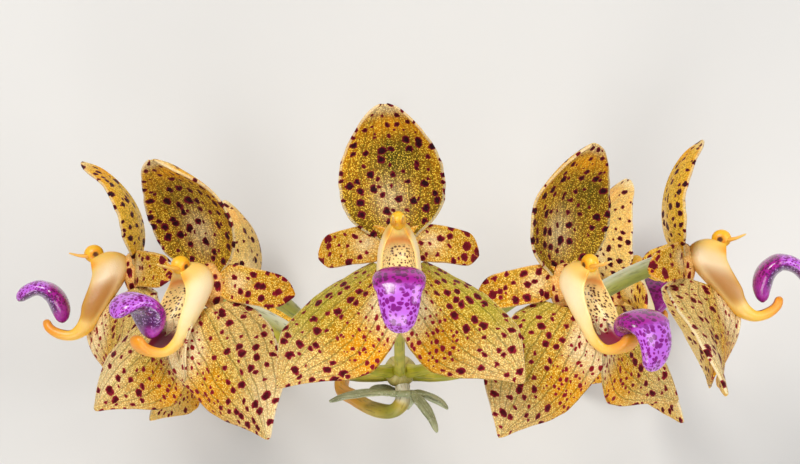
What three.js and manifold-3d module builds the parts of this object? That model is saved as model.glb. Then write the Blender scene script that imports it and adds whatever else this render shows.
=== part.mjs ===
// A picked flower head of a spotted bulbophyllum orchid: an umbel of seven blooms on a bent, cut stalk,
// lying on its side on a flat surface. Millimetres. The head rests on the lowest sepal tips of its two
// back blooms and on the cut stalk, which curls round under the head.
//
// Umbel frame: +X to the right, +Y towards the top of the umbel, +Z towards the front bloom.
// Bloom frame: +X to its side, +Y up its dorsal sepal, +Z the way it faces, origin where its parts meet.
import * as THREE from "three";
import { mergeVertices } from "three/addons/utils/BufferGeometryUtils.js";
import Module from "manifold-3d";

const wasm = await Module();
wasm.setup();

// ---------------------------------------------------------------- driving dimensions
const CLEARANCE = 0.3; // gap between neighbouring solids
const BLADE_THICKNESS = 0.6; // fleshy sepals and petals

// Each bloom: at, where its parts meet in the umbel frame; then in degrees turn, its bearing round the
// umbel, nod, how far it leans forwards, roll, counterclockwise as it faces you, hood, lean and twist, how
// far its dorsal sepal bends forwards, leans to its left and turns round itself, flare, how far the side
// sepal at its left swings forwards, and hang, how far its lip droops forwards; then dorsal and reach, the
// share of the full length that the dorsal sepal and the lip have; and the whole bloom's size.
const BLOOMS = [
  {
    at: [-20.2, -2.95, -1],
    turn: -88, nod: 9, roll: 0,
    hood: 11, lean: 0, twist: 0, flare: 0, hang: 4, dorsal: 0.92, reach: 0.68, size: 1,
  },
  {
    at: [-13.7, -3.6, 15.2],
    turn: -48, nod: 10, roll: -8,
    hood: 20, lean: 4, twist: 12, flare: 20, hang: 0, dorsal: 1.07, reach: 0.73, size: 1,
  },
  {
    at: [-0.1, -0.95, 22],
    turn: 0, nod: 0, roll: 1,
    hood: 4, lean: 5, twist: 0, flare: 0, hang: 60, dorsal: 1.03, reach: 0.95, size: 1,
  },
  {
    at: [11.9, -3.6, 15.6],
    turn: 40, nod: 7, roll: 7,
    hood: 8, lean: -5, twist: 0, flare: 0, hang: 47, dorsal: 1.07, reach: 0.93, size: 1,
  },
  {
    at: [21.4, -2.2, 1.5],
    turn: 90, nod: 0, roll: 0,
    hood: 3, lean: 0, twist: 0, flare: 0, hang: 0, dorsal: 0.94, reach: 0.88, size: 1,
  },
  {
    at: [16.8, -4.2, -15.1],
    turn: 140, nod: -5, roll: 10,
    hood: 0, lean: -2, twist: -25, flare: -22, hang: 10, dorsal: 0.92, reach: 0.8, size: 0.95,
  },
  {
    at: [-13.3, -6, -15.2],
    turn: -125, nod: 0, roll: 0,
    hood: 0, lean: 0, twist: 0, flare: 0, hang: 10, dorsal: 1, reach: 0.88, size: 0.88,
  },
];
const GROUND = -22.35; // the surface that the umbel lies on
const ORIGIN = [0.99, -2.9, GROUND]; // the middle of the underside of the part's box

const HEAD = new THREE.Vector3(0, -10.3, 0); // the knob that all flower stalks grow from
const HEAD_RADIUS = 1.2;
const PEDICEL_RADIUS = 0.4;
const OVARY_RADIUS = 0.65;
const PEDICEL_START = HEAD_RADIUS + CLEARANCE; // distance from the knob's centre
const OVARY_END = -1.7; // how far behind the bloom's centre the ovary ends
const PEDICEL_PULLS = [6, 7]; // how far the curve runs straight on from the knob and from the bloom
const PEDICEL_RISE = { front: 0.3, all: -0.2 }; // slope on leaving the knob
const STALK_RADIUS = 0.55;

// The cushion that holds sepals and petals: half its size and its middle.
const RECEPTACLE = { half: [1.25, 1.7, 0.85], at: [0, -0.3, -0.45] };

// Sepals and petals. spine: Bezier control points in the bloom frame; across: the direction to the blade's
// right edge from its base to its tip; left and right: half-widths at equal steps; curl: half of the angle
// that the section bends through.
const DORSAL_SEPAL = {
  spine: [[0, 0.2, -0.7], [0, 3.2, -2.8], [0, 6.8, -2.3], [0, 9.6, 0.5]],
  across: [[1, 0, 0], [1, 0, 0]],
  left: [1.2, 2.9, 3.7, 3.95, 3.95, 3.8, 3.4, 2.8, 2.0, 1.0],
  right: [1.2, 2.9, 3.7, 3.95, 3.95, 3.8, 3.4, 2.8, 2.0, 1.0],
  curl: [25, 35, 38, 35, 32, 32, 35],
  steps: 8,
  strips: 6,
};
const PETAL = {
  spine: [[0.5, 0.2, -0.7], [2.4, 0.4, -0.8], [4.3, 0, -1.9], [5.6, -0.7, -3.4]],
  across: [[0, -1, 0.1], [0, -1, 0.2]],
  left: [0.9, 1.2, 1.25, 1.2, 1.2, 1.1, 0.4],
  right: [0.9, 1.4, 1.5, 1.45, 1.4, 1.2, 0.4],
  curl: [20, 20, 20],
  steps: 5,
  strips: 4,
};
const LATERAL_SEPAL = {
  spine: [[0.5, -1.7, 1.2], [3.0, -4.4, 1.9], [5.6, -7.2, 1.4], [8.5, -9.5, 2.1]],
  across: [[0.1, -0.65, 0.75], [-0.47, -0.75, 0.4], [-0.75, -0.66, 0.1]],
  left: [2.7, 3.7, 4.1, 4.15, 3.9, 3.6, 3.1, 1.7, 0.25],
  right: [2.5, 3.2, 3.7, 3.8, 3.9, 3.3, 2.1, 1, 0.25],
  curl: [0, -22, -38, -38, -28, -12],
  steps: 8,
  strips: 5,
};

// Column and its foot, as slices from the back line to the front rim: [back z, back y, rim z, rim y,
// half-width, depth of the trough as a share of the slice].
const COLUMN_SLICES = [
  [1.35, 1.75, 2.6, 1.5, 0.45, 0],
  [0.5, 1.55, 2.6, 0.75, 0.85, 0.1],
  [-0.1, 1.05, 2.65, 0.2, 1.15, 0.25],
  [-0.2, 0.2, 2.95, -0.5, 1.4, 0.4],
  [0.4, -0.7, 3.4, -1.3, 1.5, 0.5],
  [1.3, -1.7, 3.75, -1.95, 1.55, 0.5],
  [2.3, -2.75, 3.95, -2.6, 1.5, 0.45],
  [3.3, -3.9, 4.3, -3.2, 1.35, 0.3],
  [4.6, -4.4, 4.85, -3.6, 1.15, 0.25],
  [5.85, -4.15, 5.45, -3.5, 0.95, 0.2],
  [6.7, -3.4, 6.1, -3.1, 0.75, 0.1],
  [6.9, -2.6, 6.35, -2.5, 0.5, 0],
];
const ANTHER = { at: [0, 1.72, 2.3], radius: 0.7 };
const COLUMN_TOOTH = { from: [0.3, 1.6, 2.7], to: [0.35, 2.05, 4.1], radius: 0.2 };

// The lip curls up out of the foot's hook, over and forwards. Its line is measured from its base.
const LIP_BASE = [0, -3, 5.35];
const LIP_LINE = [
  [0, 0, 0], [0, 1.3, -0.05], [0, 2.3, 0.3], [0, 2.95, 1.2],
  [0, 2.8, 2.25], [0, 2.15, 3.05], [0, 1.25, 3.5], [0, 0.5, 3.6],
];
const LIP_HALF_WIDTHS = [0.55, 1.3, 1.75, 1.8, 1.6, 1.4, 1.1, 0.5];
const LIP_HALF_THICKNESS = [0.4, 0.7, 0.75, 0.7, 0.65, 0.6, 0.55, 0.35];
const LIP_STEPS = 7;
const LIP_SIDES = 8;

// The stalk's line from the knob: down, round a bend, back under the head and along the surface to the cut.
const STALK_LINE = [
  [0, -10.3, 0], [0.2, -11.7, 0.3], [0.1, -12.7, 0.3], [-0.7, -13.3, -0.2],
  [-2.1, -13.1, -1.3], [-3.4, -12.4, -2.8], [-4.4, -11.6, -5.4], [-3.6, -9.2, -11],
  [-1.2, -4.6, -17.2], [0, 1.6, -20.9], [-0.6, 8.6, -21.9],
];

// The bracts hang from a collar round the stalk's neck: bearing and droop in degrees, then length.
const COLLAR = { at: [0.18, -11.95, 0.3], inner: 0.85, outer: 1.2, height: 0.5 };
const BRACTS = [[-84, 0, 4.6], [66, 46, 3.4], [112, 12, 3], [172, 16, 2.6], [-135, -16, 2.6]];
const BRACT = {
  spine: [[0, 0, 0], [0, 0.25, 0.8], [0, 0.1, 2], [0, -0.6, 3.2]],
  across: [[1, 0, 0], [1, 0, 0]],
  left: [0.5, 0.8, 0.8, 0.55, 0.15],
  right: [0.5, 0.8, 0.8, 0.55, 0.15],
  curl: [30, 30, 30],
  steps: 4,
  strips: 2,
};

// ---------------------------------------------------------------- colours
const material = (color, roughness) => new THREE.MeshStandardMaterial({ color, roughness, metalness: 0 });
const YELLOW = material(0xd9a62a, 0.55);
const CREAM = material(0xecc873, 0.45);
const PURPLE = material(0xa01fa8, 0.3);
const GREEN = material(0x8f9a2c, 0.55);
const OLIVE = material(0xb0942a, 0.55);
const PALE = material(0xb9bf9c, 0.65);

// ---------------------------------------------------------------- curves and meshes
const radians = (degrees) => (degrees * Math.PI) / 180;
const vector = ([x, y, z]) => new THREE.Vector3(x, y, z);
const bezier = (points) => new THREE.CubicBezierCurve3(...points.map(vector));
const throughPoints = (points) =>
  new THREE.CatmullRomCurve3(points.map(vector), false, "catmullrom", 0.5);

// A list of values at equal steps, read smoothly at t from 0 to 1.
function smooth(list, t) {
  return new THREE.SplineCurve(list.map((value, i) => new THREE.Vector2(i, value))).getPoint(t).y;
}

// A closed mesh from rings of points, each ring counterclockwise seen from the last, with fans at both ends.
function loft(rings) {
  const sides = rings[0].length;
  const points = rings.flat();
  const centre = (ring) =>
    ring.reduce((sum, point) => sum.add(point), new THREE.Vector3()).divideScalar(ring.length);
  const first = points.push(centre(rings[0])) - 1;
  const last = points.push(centre(rings.at(-1))) - 1;
  const index = [];
  for (let r = 0; r + 1 < rings.length; r += 1) {
    for (let s = 0; s < sides; s += 1) {
      const [a, b] = [r * sides + s, r * sides + ((s + 1) % sides)];
      index.push(a, b, b + sides, a, b + sides, a + sides);
    }
  }
  const end = (rings.length - 1) * sides;
  for (let s = 0; s < sides; s += 1) {
    const next = (s + 1) % sides;
    index.push(first, next, s);
    index.push(last, end + s, end + next);
  }
  return new THREE.BufferGeometry().setFromPoints(points).setIndex(index);
}

// A tube of changing radius along a curve.
function tube(curve, radiusAt, steps, sides) {
  const frames = curve.computeFrenetFrames(steps, false);
  const rings = [];
  for (let i = 0; i <= steps; i += 1) {
    const centre = curve.getPointAt(i / steps);
    const radius = radiusAt(i / steps);
    const ring = [];
    for (let s = 0; s < sides; s += 1) {
      const angle = (2 * Math.PI * s) / sides;
      ring.push(
        centre
          .clone()
          .addScaledVector(frames.normals[i], radius * Math.cos(angle))
          .addScaledVector(frames.binormals[i], radius * Math.sin(angle)),
      );
    }
    rings.push(ring);
  }
  return loft(rings);
}

// A point of a blade's middle surface, t along it and v from -1 to 1 across it.
function bladePoint(spec, curve, t, v) {
  const along = curve.getTangent(t);
  const across = vector([0, 1, 2].map((axis) => smooth(spec.across.map((a) => a[axis]), t)));
  across.addScaledVector(along, -across.dot(along)).normalize();
  const face = across.clone().cross(along);
  const [left, right] = [smooth(spec.left, t), smooth(spec.right, t)];
  const reach = v * (v < 0 ? left : right);
  const bend = radians(smooth(spec.curl, t));
  const radius = (left + right) / 2 / (Math.abs(bend) < 0.01 ? 0.01 : bend);
  const turned = reach / radius;
  return curve
    .getPoint(t)
    .addScaledVector(across, radius * Math.sin(turned))
    .addScaledVector(face, radius * (1 - Math.cos(turned)));
}

// A closed blade: the middle surface moved out by half the thickness both ways, with a blunt edge all round.
function blade(spec) {
  const curve = bezier(spec.spine);
  const nudge = 1e-3;
  const [front, back] = [[], []];
  for (let i = 0; i <= spec.steps; i += 1) {
    for (let j = 0; j <= spec.strips; j += 1) {
      const t = THREE.MathUtils.clamp(i / spec.steps, nudge, 1 - nudge);
      const v = (2 * j) / spec.strips - 1;
      const at = bladePoint(spec, curve, t, v);
      const overV = bladePoint(spec, curve, t, v + nudge).sub(bladePoint(spec, curve, t, v - nudge));
      const overT = bladePoint(spec, curve, t + nudge, v).sub(bladePoint(spec, curve, t - nudge, v));
      const normal = overV.cross(overT).normalize();
      front.push(at.clone().addScaledVector(normal, BLADE_THICKNESS / 2));
      back.push(at.clone().addScaledVector(normal, -BLADE_THICKNESS / 2));
    }
  }
  const across = spec.strips + 1;
  const offset = front.length;
  const index = [];
  for (let i = 0; i < spec.steps; i += 1) {
    for (let j = 0; j < spec.strips; j += 1) {
      const a = i * across + j;
      const [b, c, d] = [a + 1, a + across + 1, a + across];
      index.push(a, b, c, a, c, d);
      index.push(offset + a, offset + c, offset + b, offset + a, offset + d, offset + c);
    }
  }
  const rim = [];
  for (let j = 0; j < spec.strips; j += 1) rim.push(j);
  for (let i = 0; i < spec.steps; i += 1) rim.push(i * across + spec.strips);
  for (let j = spec.strips; j > 0; j -= 1) rim.push(spec.steps * across + j);
  for (let i = spec.steps; i > 0; i -= 1) rim.push(i * across);
  rim.forEach((a, k) => {
    const b = rim[(k + 1) % rim.length];
    index.push(a, offset + a, offset + b, a, offset + b, b);
  });
  return new THREE.BufferGeometry().setFromPoints([...front, ...back]).setIndex(index);
}

// The same mesh on the bloom's other side.
function mirrored(geometry) {
  const copy = geometry.clone().scale(-1, 1, 1);
  copy.setIndex([...copy.index.array].reverse());
  return copy;
}

// ---------------------------------------------------------------- solids
function solid(geometry) {
  const bare = geometry.clone();
  bare.deleteAttribute("normal");
  bare.deleteAttribute("uv");
  const merged = mergeVertices(bare, 1e-4);
  const vertProperties = merged.attributes.position.array;
  const triVerts = new Uint32Array(merged.index.array);
  return new wasm.Manifold(new wasm.Mesh({ numProp: 3, vertProperties, triVerts }));
}
const fuse = (solids) => solids.reduce((whole, next) => whole.add(next));

// What of a body stands above the ground, in a frame that place carries into the umbel frame.
function aboveGround(body, place) {
  const depth = 10;
  const ground = new THREE.BoxGeometry(90, 90, depth).translate(0, 0, GROUND - depth / 2);
  return body.subtract(solid(ground.applyMatrix4(place.clone().invert())));
}
const biggest = (made) => made.decompose().sort((a, b) => b.volume() - a.volume())[0];

function geometryOf(made) {
  const { vertProperties, triVerts } = made.getMesh();
  return new THREE.BufferGeometry()
    .setAttribute("position", new THREE.BufferAttribute(vertProperties, 3))
    .setIndex(new THREE.BufferAttribute(triVerts, 1));
}

// ---------------------------------------------------------------- parts of a bloom, in its own frame
// The column and its foot, grown by margin on all sides; filled leaves the trough out.
function columnBody({ margin = 0, filled = false }) {
  const rings = COLUMN_SLICES.map(([backZ, backY, rimZ, rimY, halfWidth, trough], k) => {
    const back = new THREE.Vector3(0, backY, backZ);
    const toRim = new THREE.Vector3(0, rimY, rimZ).sub(back);
    const depth = toRim.length();
    toRim.normalize();
    back.addScaledVector(toRim, -margin);
    const h = depth + 2 * margin;
    const w = halfWidth + margin;
    const hollow = filled ? 0 : trough;
    const atEnd = Number(k === COLUMN_SLICES.length - 1) - Number(k === 0);
    const alongFoot = new THREE.Vector3(0, -toRim.z, toRim.y).multiplyScalar(atEnd * margin);
    const half = [[0.75 * w, 0.12 * h], [w, 0.55 * h], [0.8 * w, h], [0.42 * w, h * (1 - hollow)]];
    const outline = [[0, 0], ...half, ...half.toReversed().map(([side, out]) => [-side, out])];
    const shift = back.add(alongFoot);
    return outline.map(([side, out]) => new THREE.Vector3(side, 0, 0).add(shift).addScaledVector(toRim, out));
  });
  return solid(loft(rings));
}

function columnWithAnther() {
  const anther = solid(new THREE.SphereGeometry(ANTHER.radius, 8, 5).translate(...ANTHER.at));
  const tooth = tube(
    new THREE.LineCurve3(vector(COLUMN_TOOTH.from), vector(COLUMN_TOOTH.to)),
    (t) => COLUMN_TOOTH.radius * (1 - 0.5 * t), 1, 4,
  );
  return fuse([columnBody({}), anther, solid(tooth), solid(mirrored(tooth))]);
}

// Room for the end of the ovary in the back of the bloom.
function ovaryRoom() {
  const centreZ = OVARY_END - OVARY_RADIUS * 0.6;
  return solid(new THREE.SphereGeometry(OVARY_RADIUS + CLEARANCE, 10, 6).translate(0, 0, centreZ));
}

function tepals({ hood, lean, twist, flare, dorsal }) {
  const receptacle = new THREE.SphereGeometry(1, 8, 5)
    .scale(...RECEPTACLE.half)
    .translate(...RECEPTACLE.at);
  const petal = blade(PETAL);
  const lateral = blade(LATERAL_SEPAL);
  const swung = mirrored(lateral).rotateY(radians(flare));
  const back = blade(DORSAL_SEPAL).scale(1, dorsal, 1).rotateY(radians(twist));
  back.rotateX(radians(hood)).rotateZ(radians(lean));
  const pieces = [receptacle, back, petal, mirrored(petal), lateral, swung];
  const columnRoom = columnBody({ margin: CLEARANCE, filled: true });
  return biggest(fuse(pieces.map(solid)).subtract(columnRoom).subtract(ovaryRoom()));
}

function lip({ hang, reach }) {
  const curve = throughPoints(LIP_LINE);
  const rings = [];
  for (let i = 0; i <= LIP_STEPS; i += 1) {
    const t = i / LIP_STEPS;
    const centre = curve.getPoint(t * reach);
    const tangent = curve.getTangent(t * reach);
    const outward = new THREE.Vector3(1, 0, 0).cross(tangent).negate();
    const [w, h] = [smooth(LIP_HALF_WIDTHS, t), smooth(LIP_HALF_THICKNESS, t)];
    const ring = [];
    for (let s = 0; s < LIP_SIDES; s += 1) {
      const angle = (2 * Math.PI * s) / LIP_SIDES;
      const side = new THREE.Vector3(w * Math.cos(angle), 0, 0);
      ring.push(side.add(centre).addScaledVector(outward, h * Math.sin(angle)));
    }
    rings.push(ring);
  }
  const geometry = loft(rings).rotateX(radians(hang)).translate(...LIP_BASE);
  return biggest(solid(geometry).subtract(columnBody({ margin: CLEARANCE })));
}

// ---------------------------------------------------------------- stalks and bracts, in the umbel frame
function placeOf(bloom) {
  const turned = new THREE.Quaternion().setFromEuler(
    new THREE.Euler(radians(bloom.nod), radians(bloom.turn), radians(bloom.roll), "YXZ"),
  );
  return new THREE.Matrix4().compose(vector(bloom.at), turned, new THREE.Vector3().setScalar(bloom.size));
}

function pedicel(bloom) {
  const place = placeOf(bloom);
  const end = new THREE.Vector3(0, 0, OVARY_END).applyMatrix4(place);
  const arriving = new THREE.Vector3(0, 0.25, 0.97).transformDirection(place);
  const leaving = new THREE.Vector3(end.x - HEAD.x, 0, end.z - HEAD.z).normalize();
  leaving.y = PEDICEL_RISE.front * Math.max(0, leaving.z) + PEDICEL_RISE.all;
  leaving.normalize();
  const start = HEAD.clone().addScaledVector(leaving, PEDICEL_START);
  const curve = new THREE.CubicBezierCurve3(
    start,
    start.clone().addScaledVector(leaving, PEDICEL_PULLS[0]),
    end.clone().addScaledVector(arriving, -PEDICEL_PULLS[1]),
    end,
  );
  const swell = (t) => THREE.MathUtils.smoothstep(t, 0.5, 0.75);
  return tube(curve, (t) => THREE.MathUtils.lerp(PEDICEL_RADIUS, OVARY_RADIUS, swell(t)), 8, 7);
}

// Lance-shaped bracts on a thin collar.
function bracts() {
  const { inner, outer, height } = COLLAR;
  const [low, high] = [-height / 2, height / 2];
  const profile = [[inner, low], [outer, low], [outer, high], [inner, high], [inner, low]];
  const collar = new THREE.LatheGeometry(profile.map(([x, y]) => new THREE.Vector2(x, y)), 12);
  const leaves = BRACTS.map(([bearing, droop, length]) =>
    blade(BRACT)
      .scale(1, 1, length / BRACT.spine[3][2])
      .rotateX(radians(droop))
      .translate(0, 0, COLLAR.inner)
      .rotateY(radians(bearing)),
  );
  return fuse([collar, ...leaves].map((geometry) => solid(geometry.translate(...COLLAR.at))));
}

function stalk() {
  const knob = new THREE.SphereGeometry(HEAD_RADIUS, 10, 7).translate(HEAD.x, HEAD.y, HEAD.z);
  return fuse([solid(knob), solid(tube(throughPoints(STALK_LINE), () => STALK_RADIUS, 28, 8))]);
}

// ---------------------------------------------------------------- assembly
const umbel = new THREE.Group();
umbel.position.set(...ORIGIN).negate();

function add(body, name, finish, parent) {
  const mesh = new THREE.Mesh(geometryOf(body), finish);
  mesh.name = name;
  parent.add(mesh);
}

const column = columnWithAnther();
BLOOMS.forEach((bloom, k) => {
  const group = new THREE.Group();
  const place = placeOf(bloom);
  place.decompose(group.position, group.quaternion, group.scale);
  umbel.add(group);
  add(aboveGround(tepals(bloom), place), `bloom_${k + 1}_sepals_and_petals`, YELLOW, group);
  add(column, `bloom_${k + 1}_column`, CREAM, group);
  add(lip(bloom), `bloom_${k + 1}_lip`, PURPLE, group);
  add(solid(pedicel(bloom)), `bloom_${k + 1}_stalk`, GREEN, umbel);
});
add(aboveGround(stalk(), new THREE.Matrix4()), "main_stalk", OLIVE, umbel);
add(bracts(), "bracts", PALE, umbel);

export default umbel;
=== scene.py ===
"""The fine surfaces of a spotted bulbophyllum orchid's flower head: seven blooms on one stalk, on its side.

Shapes are worked out in millimetres. The umbel frame has +X to the right, +Y towards the top of the umbel
and +Z towards the front bloom. A bloom's own frame has +X to its side, +Y up its upper sepal and +Z the way
it faces, and its origin where its parts meet.
"""
from math import pi, radians, sin

import bpy
import numpy as np
from mathutils import Matrix, Vector


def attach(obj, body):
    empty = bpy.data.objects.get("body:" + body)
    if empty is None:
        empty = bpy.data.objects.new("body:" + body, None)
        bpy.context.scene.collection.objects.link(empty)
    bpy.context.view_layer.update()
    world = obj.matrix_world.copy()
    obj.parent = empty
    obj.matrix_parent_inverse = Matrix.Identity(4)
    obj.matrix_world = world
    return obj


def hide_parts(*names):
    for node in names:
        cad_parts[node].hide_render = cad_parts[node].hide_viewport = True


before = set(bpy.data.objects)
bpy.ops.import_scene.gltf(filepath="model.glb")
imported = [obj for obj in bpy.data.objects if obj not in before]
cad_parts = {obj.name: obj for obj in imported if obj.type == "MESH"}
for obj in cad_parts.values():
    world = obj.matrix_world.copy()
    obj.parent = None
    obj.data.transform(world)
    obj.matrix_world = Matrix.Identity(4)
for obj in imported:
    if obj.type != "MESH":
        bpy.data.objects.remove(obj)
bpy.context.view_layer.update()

MM = 0.001
GROUND = -22.35
ORIGIN = Vector((0.99, -2.9, GROUND))

# ---------------------------------------------------------------- shapes, in millimetres
# What a bloom is like where its own entry doesn't say. turn, nod and roll face it; hood, lean and twist bend
# its upper sepal and dorsal stretches it; flare swings its left side sepal; hang and reach are its lip's tilt
# and share of the full length. browned is how brown its column is, greened how green and dark its sepals are,
# partly their own olive and partly painted shade set bloom by bloom, paled how far its upper sepal has paled
# and patched the place across that sepal of its dark patch, which is partly painted shade.
USUAL = dict(
    nod=0, roll=0, hood=0, lean=0, twist=0, flare=0, hang=0, dorsal=1, size=1,
    browned=0.12, greened_and_shaded=1, paled=0, patch_and_shade_at=0.15,
)
BLOOMS = [
    USUAL | dict(
        at=(-20.2, -2.95, -1), turn=-88, nod=9, hood=11, hang=4, dorsal=0.92, reach=0.68,
        browned=1, greened_and_shaded=0.2,
    ),
    USUAL | dict(
        at=(-13.7, -3.6, 15.2), turn=-48, nod=10, roll=-8, hood=20, lean=4, twist=12, flare=20,
        dorsal=1.07, reach=0.73, greened_and_shaded=0.15, patch_and_shade_at=-0.1,
    ),
    USUAL | dict(at=(-0.1, -0.95, 22), turn=0, roll=1, hood=4, lean=5, hang=60, dorsal=1.03, reach=0.95),
    # On this bloom the dark patch is moved to one side of its upper sepal, as painted shade on the side away
    # from the light.
    USUAL | dict(
        at=(11.9, -3.6, 15.6), turn=40, nod=7, roll=7, hood=8, lean=-5, hang=47, dorsal=1.07, reach=0.93,
        greened_and_shaded=0.75, patch_and_shade_at=0.6,
    ),
    USUAL | dict(
        at=(21.4, -2.2, 1.5), turn=90, hood=3, dorsal=0.94, reach=0.88, browned=0.9, greened_and_shaded=0.1,
    ),
    USUAL | dict(
        at=(16.8, -4.2, -15.1), turn=140, nod=-5, roll=10, lean=-2, twist=-25, flare=-22, hang=10,
        dorsal=0.92, reach=0.8, size=0.95, greened_and_shaded=0.4, paled=0.3,
    ),
    USUAL | dict(at=(-13.3, -6, -15.2), turn=-125, hang=10, reach=0.88, size=0.88, paled=0.3),
]
LEAST_BROWN = 0.35  # on any part of a browned column
HEAD = Vector((0, -10.3, 0))
HEAD_RADIUS = 1.2
PEDICEL_RADIUS = 0.4
OVARY_RADIUS = 0.65
PEDICEL_START = 1.5
OVARY_END = -1.7
PEDICEL_PULLS = (6, 7)
PEDICEL_RISE = dict(front=0.3, all=-0.2)
PEDICEL_STEPS, PEDICEL_SIDES = 60, 24
PEDICEL_ROOT = 0.7  # where it starts inside the knob, as a share of the knob's radius
PEDICEL_SOCKET = 0.9  # how far it runs into the bloom
STALK_RADIUS = 0.55

# Blades: spine, the Bezier line; across, the direction to the right edge; left and right, the half-widths;
# curl, half of the angle that the section bends through; tip, the share of the length that rounds off;
# grooves, each at one place across, with its depth and width; across_steps and along_steps, the number of
# cells each way.
DORSAL_SEPAL = dict(
    spine=[(0, 0.2, -0.7), (0, 3.2, -2.8), (0, 6.8, -2.3), (0, 9.6, 0.5)],
    across=[(1, 0, 0), (1, 0, 0)],
    left=[1.2, 2.9, 3.7, 3.95, 3.95, 3.8, 3.4, 2.8, 2.0, 1.0],
    right=[1.2, 2.9, 3.7, 3.95, 3.95, 3.8, 3.4, 2.8, 2.0, 1.0],
    curl=[25, 35, 38, 35, 32, 32, 35],
    tip=0.05,
    grooves=[(0, 0.16, 0.07), (-0.42, 0.05, 0.06), (0.42, 0.05, 0.06)],
    across_steps=28,
    along_steps=40,
)
PETAL = dict(
    spine=[(0.5, 0.2, -0.7), (2.4, 0.4, -0.8), (4.3, 0, -1.9), (5.6, -0.7, -3.4)],
    across=[(0, -1, 0.1), (0, -1, 0.2)],
    left=[0.9, 1.2, 1.25, 1.2, 1.2, 1.1, 0.4],
    right=[0.9, 1.4, 1.5, 1.45, 1.4, 1.2, 0.4],
    curl=[20, 20, 20],
    tip=0.1,
    grooves=[(0, 0.07, 0.1)],
    across_steps=14,
    along_steps=24,
)
LATERAL_SEPAL = dict(
    spine=[(0.5, -1.7, 1.2), (3.0, -4.4, 1.9), (5.6, -7.2, 1.4), (8.5, -9.5, 2.1)],
    across=[(0.1, -0.65, 0.75), (-0.47, -0.75, 0.4), (-0.75, -0.66, 0.1)],
    left=[2.7, 3.7, 4.1, 4.15, 3.9, 3.6, 3.1, 1.7, 0.25],
    right=[2.5, 3.2, 3.7, 3.8, 3.9, 3.3, 2.1, 1, 0.25],
    curl=[0, -22, -38, -38, -28, -12],
    tip=0.04,
    grooves=[(-0.18, 0.16, 0.05), (0.12, 0.08, 0.05), (0.4, 0.08, 0.05), (-0.5, 0.06, 0.05)],
    across_steps=28,
    along_steps=40,
)
BLADE_THICKNESS = 0.45
EDGE_THICKNESS = 0.4  # the share of it that an edge keeps
RECEPTACLE = dict(half=(1.25, 1.7, 0.85), at=(0, -0.3, -0.45))
CUSHION_SIDES, ANTHER_SIDES, KNOB_SIDES, TOOTH_SIDES = 30, 48, 42, 12

# Slices of the column and its foot: back z, back y, rim z, rim y, half-width, hollowed share of the depth.
COLUMN_SLICES = [
    (1.35, 1.75, 2.6, 1.5, 0.45, 0),
    (0.5, 1.55, 2.6, 0.75, 0.85, 0.1),
    (-0.1, 1.05, 2.65, 0.2, 1.15, 0.25),
    (-0.2, 0.2, 2.95, -0.5, 1.4, 0.4),
    (0.4, -0.7, 3.4, -1.3, 1.5, 0.5),
    (1.3, -1.7, 3.75, -1.95, 1.55, 0.5),
    (2.3, -2.75, 3.95, -2.6, 1.5, 0.45),
    (3.3, -3.9, 4.3, -3.2, 1.35, 0.3),
    (4.6, -4.4, 4.85, -3.6, 1.15, 0.25),
    (5.85, -4.15, 5.45, -3.5, 0.95, 0.2),
    (6.7, -3.4, 6.1, -3.1, 0.75, 0.1),
    (6.9, -2.6, 6.35, -2.5, 0.5, 0),
]
COLUMN_CORNERS = 9
COLUMN_LENGTH = 10
COLUMN_STEPS = 72
ANTHER = dict(at=(0, 1.72, 2.3), radius=0.7, eye=(0.95, -0.12, -0.2), dent=0.14)
COLUMN_TOOTH = dict(line=[(0.3, 1.6, 2.7), (0.32, 1.75, 3.4), (0.35, 2.05, 4.1)], radius=0.2)

LIP_BASE = (0, -3, 5.35)
LIP_LINE = [
    (0, 0, 0), (0, 1.3, -0.05), (0, 2.3, 0.3), (0, 2.95, 1.2),
    (0, 2.8, 2.25), (0, 2.15, 3.05), (0, 1.25, 3.5), (0, 0.5, 3.6),
]
LIP_HALF_WIDTHS = [0.55, 1.3, 1.75, 1.8, 1.6, 1.4, 1.1, 0.5]
LIP_HALF_THICKNESS = [0.4, 0.7, 0.75, 0.7, 0.65, 0.6, 0.55, 0.35]
LIP_HALF_GIRTH = 3.9
LIP_LENGTH = 8.5
LIP_ROWS, LIP_SIDES = 56, 48

STALK_LINE = [
    (0, -10.3, 0), (0.2, -11.7, 0.3), (0.1, -12.7, 0.3), (-0.7, -13.3, -0.2),
    (-2.1, -13.1, -1.3), (-3.4, -12.4, -2.8), (-4.4, -11.6, -5.4), (-3.6, -9.2, -11),
    (-1.2, -4.6, -17.2), (0, 1.6, -20.9), (-0.6, 8.6, -21.9),
]
STALK_STEPS, STALK_SIDES = 180, 28
COLLAR = dict(at=(0.18, -11.95, 0.3), inner=0.5, outer=1.1, height=0.5)
BRACTS_START = 0.85
BRACTS = [(-84, 0, 4.6), (66, 46, 3.4), (112, 12, 3), (172, 16, 2.6), (-135, -16, 2.6)]
BRACT = dict(
    spine=[(0, 0, 0), (0, 0.25, 0.8), (0, 0.1, 2), (0, -0.6, 3.2)],
    across=[(1, 0, 0), (1, 0, 0)],
    left=[0.5, 0.8, 0.8, 0.55, 0.15],
    right=[0.5, 0.8, 0.8, 0.55, 0.15],
    curl=[30, 30, 30],
    tip=0.06,
    grooves=[(0, 0.06, 0.1)],
    across_steps=10,
    along_steps=16,
)


# ---------------------------------------------------------------- curves
END_CLOSED = 0.97  # how far a rounded end runs towards its point


def between(a, b, c, d, w):
    """What a smooth line through a, b, c and d is at w, which is 0 at b and 1 at c."""
    rise_b, rise_c = (c - a) / 2, (d - b) / 2
    cubic = 2 * b - 2 * c + rise_b + rise_c
    square = 3 * c - 3 * b - 2 * rise_b - rise_c
    return cubic * w**3 + square * w**2 + rise_b * w + b


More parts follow.
